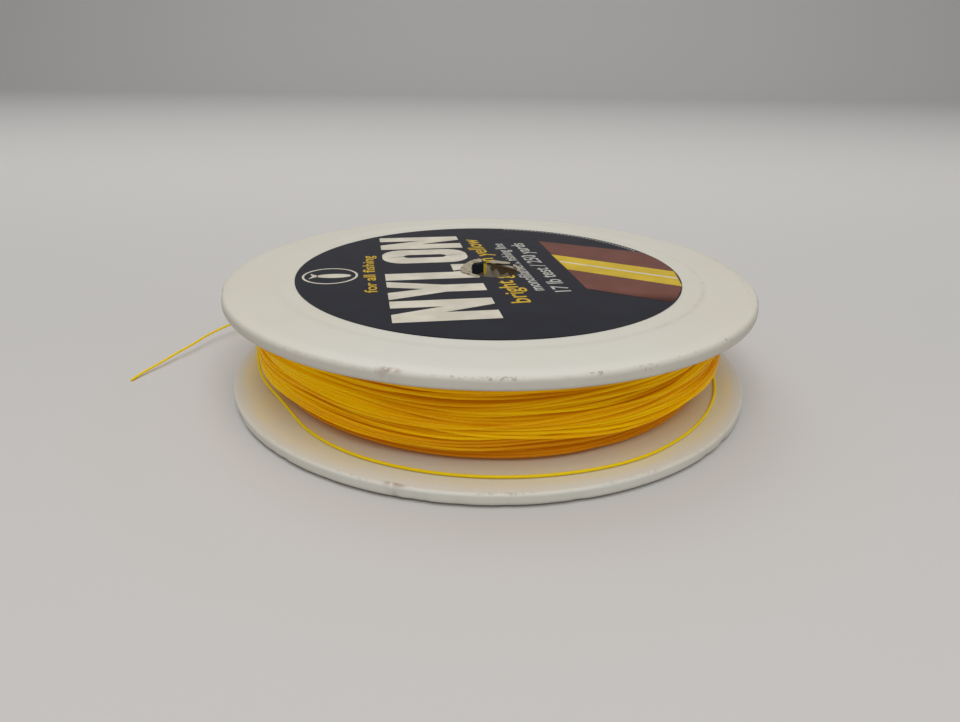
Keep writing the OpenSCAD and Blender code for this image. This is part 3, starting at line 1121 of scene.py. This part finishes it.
def add_label(side, front):
    """One whole label with its marks."""
    node = side + "_label"
    low = LABEL_LOW * 1000
    sheet = slab(*between(label_edge, torn_edge), low, PAPER_TOP)
    add_paper(side + "_sheet", node, *sheet, NAVY, front)
    for name, (material, layer, shapes) in artwork.items():
        solid = gather([slab(*shape, PAPER_TOP + 0.01 * (layer - 1) - 0.01,
                             PAPER_TOP + 0.01 * (layer - 1) + INK) for shape in shapes])
        solid = cut_hole(*solid, torn_edge * 1.02)
        add_paper(f"{side}_{name}", node, *solid, material, front)
    lip = [(-3.35, -2.6), (-3.42, 1.4), (-3.2, 4.1), (-2.4, 5.1), (-1.6, 5.6), (-1.5, 7.2),
           (-2.2, 7.9), (-3.3, 6.8), (-4.3, 5.0), (-5.1, 2.8), (-5.5, 0.5), (-5.3, -1.7),
           (-4.5, -2.9)]
    far = [(0.3, 4.85), (2.0, 4.7), (3.4, 4.35), (4.1, 4.9), (3.4, 5.9), (2.1, 6.3), (0.9, 6.6),
           (0.1, 6.0)]
    right = [(4.55, 3.2), (5.15, 1.8), (5.3, 0.0), (5.7, -0.6), (5.9, 1.0), (5.6, 2.6),
             (5.0, 3.8)]
    near = [(-1.6, -4.0), (-3.0, -3.0), (-4.2, -2.9), (-3.6, -3.9), (-2.2, -4.6)]
    add_paper(side + "_torn_lip", node,
              *bits((lip, far, right, near), 4, 0.05, 5, PAPER_TOP + 0.085), TAN, front)
    chips = [[(1.9, 6.6), (2.8, 7.6), (3.7, 7.3), (3.6, 6.2), (2.9, 6.0)],
             [(4.2, 5.6), (4.9, 5.5), (5.2, 4.6), (4.7, 4.1), (4.1, 4.8)],
             [(5.2, 4.3), (5.9, 4.2), (5.8, 3.4), (5.3, 3.3)],
             [(-5.5, -0.3), (-6.9, -1.1), (-7.0, -1.5), (-5.6, -1.0)]]
    add_paper(side + "_torn_chips", node, *bits(chips, 3, 0.04, 15, PAPER_TOP + 0.09), NAVY, front)
    hanging = gather([strip_down((5.25, 0.6), (0.4, 4.8), 1.25, 0.75, 26, 21),
                      strip_down((5.0, -2.0), (5.3, 0.6), 1.7, 0.7, 10, 23, 0.1)])
    add_paper(side + "_torn_strip", node, *hanging, STAINED, front)
    add_paper(side + "_torn_flap", node,
              *strip_down((-1.15, 4.6), (-3.3, 3.9), 2.1, 0.25, 12, 27, 0.05), NAVY, front)
    add_paper(side + "_torn_print", node,
              *strip_down((-0.55, 4.7), (-1.15, 4.55), 2.3, 0.2, 5, 29, 0.05), YELLOW, front)
    print(side, "label made")


add_label("front", True)
add_label("back", False)

# %% Tape that holds the line's inner end
tape_material, tape_tree, tape_shader, tape_place = new_material("tape_clear", IOR=1.45,
                                                                 Roughness=0.30)
tape_tone = mix_colour(tape_tree, patches(tape_tree, tape_place, 320, 4, 0.3, 0.7),
                       (0.62, 0.50, 0.26), (0.50, 0.37, 0.16))
tape_tree.links.new(tape_tone, tape_shader.inputs["Base Color"])
bump(tape_tree, tape_shader, noise(tape_tree, tape_place, 1200, 3), 0.15, 0.0001)
tape = bpy.data.objects["anchor_tape"]
tape.data.materials.clear()
tape.data.materials.append(tape_material)

# %% Floor and light
FLOOR = new_material("floor_pale", Base_Color=(0.545, 0.527, 0.508, 1), Roughness=0.8)[0]


def add_floor():
    """A pale sheet that lies flat and curves up far behind the spool."""
    bend = np.linspace(0, np.pi / 2, 14)[1:]
    y = np.r_[-0.9, 0.5, 1.1, 1.1 + 0.5 * np.sin(bend), 1.6]
    z = np.r_[0.0, 0.0, 0.0, 0.5 - 0.5 * np.cos(bend), 2.0]
    x = np.array([-2.0, 2.0])
    points = np.array([[a, b, c] for b, c in zip(y, z) for a in x])
    faces = [[2 * i, 2 * i + 1, 2 * i + 3, 2 * i + 2] for i in range(len(y) - 1)]
    piece = add_piece("floor", points, faces, FLOOR, crease=80)


add_floor()


def add_light(name, place, aim, size, power):
    """A square soft box at place, facing aim."""
    data = bpy.data.lights.new(name, "AREA")
    data.shape = "SQUARE"
    data.size = size
    data.energy = power
    lamp = bpy.data.objects.new(name, data)
    lamp.location = place
    lamp.rotation_mode = "QUATERNION"
    lamp.rotation_quaternion = (Vector(aim) - Vector(place)).to_track_quat("-Z", "Y")
    bpy.context.scene.collection.objects.link(lamp)


add_light("front", (0.05, -0.40, 0.76), (0, 0, 0.01), 0.7, 4.8)
add_light("overhead", (-0.20, 0.20, 0.85), (0, 0, 0), 0.7, 1.7)
add_light("backdrop", (0.0, 0.60, 0.95), (0, 1.5, 0.40), 1.8, 4.6)
world = bpy.data.worlds.new("studio")
world.use_nodes = True
background = world.node_tree.nodes["Background"]
background.inputs["Color"].default_value = (0.95, 0.97, 1.0, 1)
background.inputs["Strength"].default_value = 0.34
bpy.context.scene.world = world
bpy.context.scene.view_settings.view_transform = "Standard"
